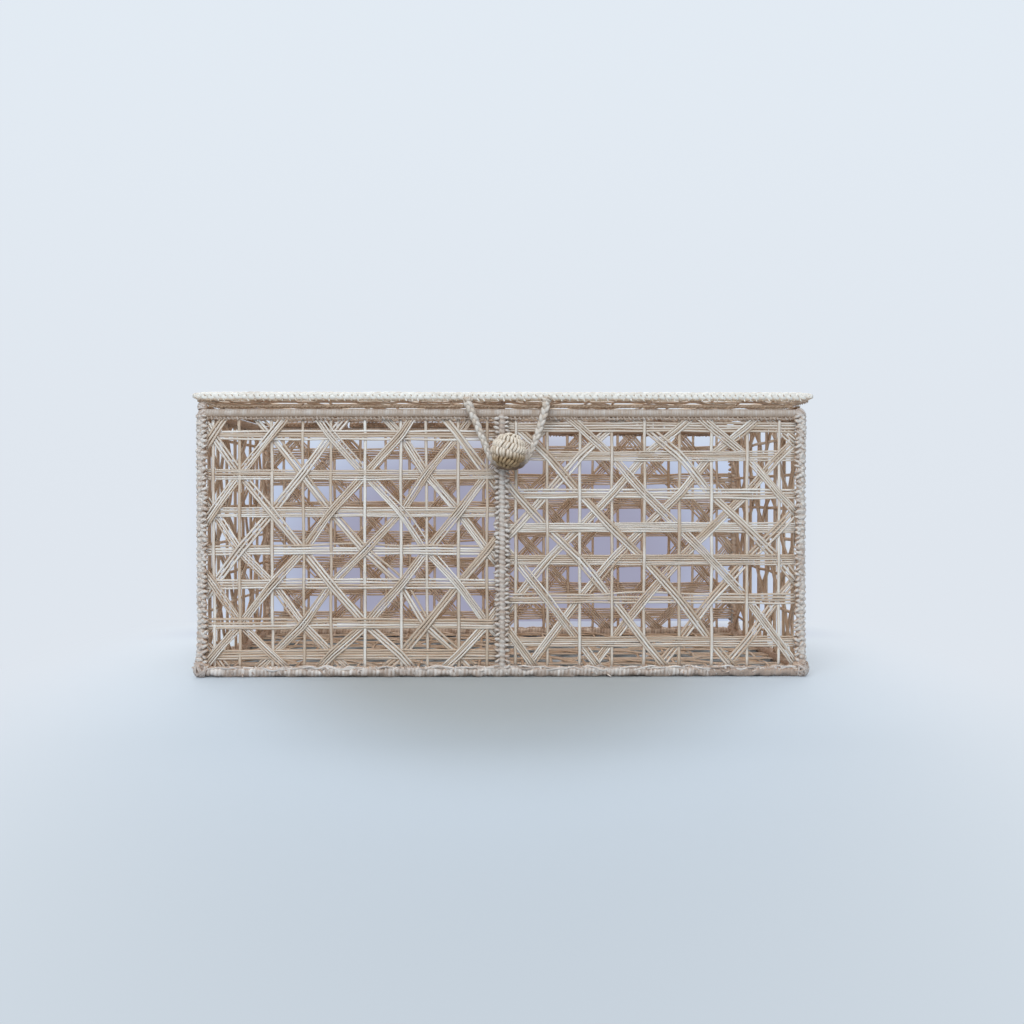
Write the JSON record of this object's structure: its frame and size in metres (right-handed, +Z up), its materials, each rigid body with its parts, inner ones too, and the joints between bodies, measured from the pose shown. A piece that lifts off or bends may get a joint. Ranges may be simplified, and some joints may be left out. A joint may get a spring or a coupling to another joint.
{
  "type": "decorative box",
  "caption": "Open-weave straw keepsake box on a wrapped wire frame, with a hinged woven lid closed by a ball button and a braided loop.",
  "frame": {"origin": "on the floor, at the middle of the footprint of the frame, on the flat underside of the base rib", "axes": "+Z up; -Y towards the front wall with the ball button; +X to the right when the front is seen"},
  "size_m": [0.3056, 0.1824, 0.1421],
  "materials": {
    "frame_wire": "dull drawn wire, hidden inside the straw wraps",
    "wrap_straw": "matte natural straw wound tightly round the wire",
    "panel_straw": "matte natural straw strands, woven open",
    "edging_straw": "matte pale straw, braided",
    "braid_straw": "matte darker straw, braided",
    "knot_straw": "matte natural straw, knotted",
    "button_straw": "matte natural straw, worked in herringbone stitches",
    "cord_straw": "matte natural straw, three-strand braid"
  },
  "bodies": {
    "box": {"base_ring_wire": "frame_wire", "rim_ring_wire": "frame_wire", "corner_post_wire_front_left": "frame_wire", "corner_post_wire_front_right": "frame_wire", "corner_post_wire_back_left": "frame_wire", "corner_post_wire_back_right": "frame_wire", "mid_post_wire_front": "frame_wire", "mid_post_wire_back": "frame_wire", "base_rib_wire": "frame_wire", "base_wrap_front": "wrap_straw", "base_wrap_back": "wrap_straw", "base_wrap_left": "wrap_straw", "base_wrap_right": "wrap_straw", "rim_wrap_front": "wrap_straw", "rim_wrap_back": "wrap_straw", "rim_wrap_left": "wrap_straw", "rim_wrap_right": "wrap_straw", "corner_post_wrap_front_left": "wrap_straw", "corner_post_wrap_front_right": "wrap_straw", "corner_post_wrap_back_left": "wrap_straw", "corner_post_wrap_back_right": "wrap_straw", "mid_post_wrap_front": "wrap_straw", "mid_post_wrap_back": "wrap_straw", "base_rib_wrap": "wrap_straw", "base_knot_front_left": "knot_straw", "base_knot_front_right": "knot_straw", "base_knot_back_left": "knot_straw", "base_knot_back_right": "knot_straw", "rim_knot_front_left": "knot_straw", "rim_knot_front_right": "knot_straw", "rim_knot_back_left": "knot_straw", "rim_knot_back_right": "knot_straw", "rim_braid_front": "braid_straw", "rim_braid_left": "braid_straw", "rim_braid_right": "braid_straw", "front_panel_left": "panel_straw", "front_panel_right": "panel_straw", "back_panel_left": "panel_straw", "back_panel_right": "panel_straw", "side_panel_left": "panel_straw", "side_panel_right": "panel_straw", "base_panel_left": "panel_straw", "base_panel_right": "panel_straw", "button_ball": "button_straw", "button_shank": "button_straw"},
    "lid": {"lid_ring_wire": "frame_wire", "lid_rib_wire": "frame_wire", "lid_rib_wrap": "wrap_straw", "lid_panel_left": "panel_straw", "lid_panel_right": "panel_straw", "lid_edging_front": "edging_straw", "lid_edging_back": "edging_straw", "lid_edging_left": "edging_straw", "lid_edging_right": "edging_straw", "hinge_tie_left": "braid_straw", "hinge_tie_right": "braid_straw", "loop_knot_left": "knot_straw", "loop_knot_right": "knot_straw"},
    "loop": {"closure_loop": "cord_straw"}
  },
  "joints": [
    {"name": "lid_open", "type": "hinge", "parent": "box", "child": "lid", "pos_m": [0, 0.07775, 0.1302], "axis": [-1, 0, 0], "range_deg": [0, 110]},
    {"name": "loop_flip", "type": "hinge", "parent": "lid", "child": "loop", "pos_m": [0.0024, -0.0845, 0.1353], "axis": [-1, 0, 0], "range_deg": [0, 150], "deforming": ["closure_loop"]}
  ]
}
